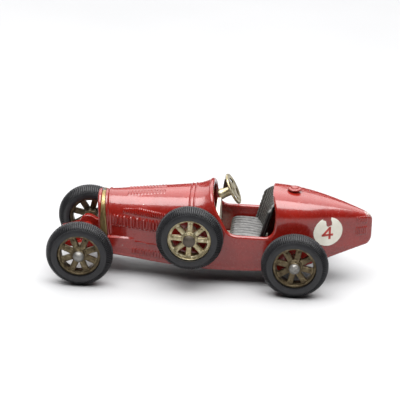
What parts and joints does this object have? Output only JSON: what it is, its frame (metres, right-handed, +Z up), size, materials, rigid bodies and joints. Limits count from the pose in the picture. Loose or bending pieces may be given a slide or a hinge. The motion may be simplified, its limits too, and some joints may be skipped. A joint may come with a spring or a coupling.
{
  "type": "toy racing car",
  "caption": "Free-rolling die-cast model of a vintage two-seat racing car with spoked wheels, a side spare wheel, a pointed tail and an open cockpit.",
  "frame": {"origin": "on the ground under the middle of the car's length and width", "axes": "+X towards the nose, +Y towards the car's left side, +Z up"},
  "size_m": [0.0752, 0.0288, 0.0237],
  "materials": {
    "red_enamel": "gloss",
    "black_enamel": "gloss",
    "rivet_steel": "satin",
    "gold_band": "satin",
    "cream_plastic": "satin",
    "seat_plastic": "satin",
    "pale_brass": "satin",
    "white_decal": "satin",
    "aged_brass": "satin",
    "tyre_rubber": "matte"
  },
  "bodies": {
    "root": {"body_shell": "red_enamel", "base_plate": "black_enamel", "base_rivets": "rivet_steel", "front_suspension": "red_enamel", "radiator_shell": "gold_band", "radiator_bezel": "red_enamel", "radiator_core": "gold_band", "radiator_cap": "black_enamel", "dash_floor": "cream_plastic", "seat": "seat_plastic", "steering_wheel": "pale_brass", "filler_cap": "red_enamel", "roundel_left": "white_decal", "roundel_right": "white_decal", "spare_stud": "rivet_steel"},
    "front_axle": {"front_axle": "rivet_steel"},
    "rear_axle": {"rear_axle": "rivet_steel"},
    "front_left_wheel": {"front_left_wheel": "aged_brass", "front_left_tyre": "tyre_rubber"},
    "front_right_wheel": {"front_right_wheel": "aged_brass", "front_right_tyre": "tyre_rubber"},
    "rear_left_wheel": {"rear_left_wheel": "aged_brass", "rear_left_tyre": "tyre_rubber"},
    "rear_right_wheel": {"rear_right_wheel": "aged_brass", "rear_right_tyre": "tyre_rubber"},
    "spare_wheel": {"spare_wheel": "pale_brass", "spare_tyre": "tyre_rubber"}
  },
  "joints": [
    {"name": "front_axle_spin", "type": "hinge", "parent": "root", "child": "front_axle", "pos_m": [0.02977, 0, 0.00785], "axis": [0, 1, 0], "continuous": true},
    {"name": "rear_axle_spin", "type": "hinge", "parent": "root", "child": "rear_axle", "pos_m": [-0.02022, 0, 0.00785], "axis": [0, 1, 0], "continuous": true},
    {"name": "front_left_wheel_spin", "type": "hinge", "parent": "front_axle", "child": "front_left_wheel", "pos_m": [0.02977, 0.01135, 0.00785], "axis": [0, 1, 0], "continuous": true},
    {"name": "front_right_wheel_spin", "type": "hinge", "parent": "front_axle", "child": "front_right_wheel", "pos_m": [0.02977, -0.01135, 0.00785], "axis": [0, 1, 0], "continuous": true},
    {"name": "rear_left_wheel_spin", "type": "hinge", "parent": "rear_axle", "child": "rear_left_wheel", "pos_m": [-0.02022, 0.01135, 0.00785], "axis": [0, 1, 0], "continuous": true},
    {"name": "rear_right_wheel_spin", "type": "hinge", "parent": "rear_axle", "child": "rear_right_wheel", "pos_m": [-0.02022, -0.01135, 0.00785], "axis": [0, 1, 0], "continuous": true},
    {"name": "spare_wheel_spin", "type": "hinge", "parent": "root", "child": "spare_wheel", "pos_m": [0.00428, 0.0112, 0.0132], "axis": [0, 1, 0], "continuous": true}
  ]
}
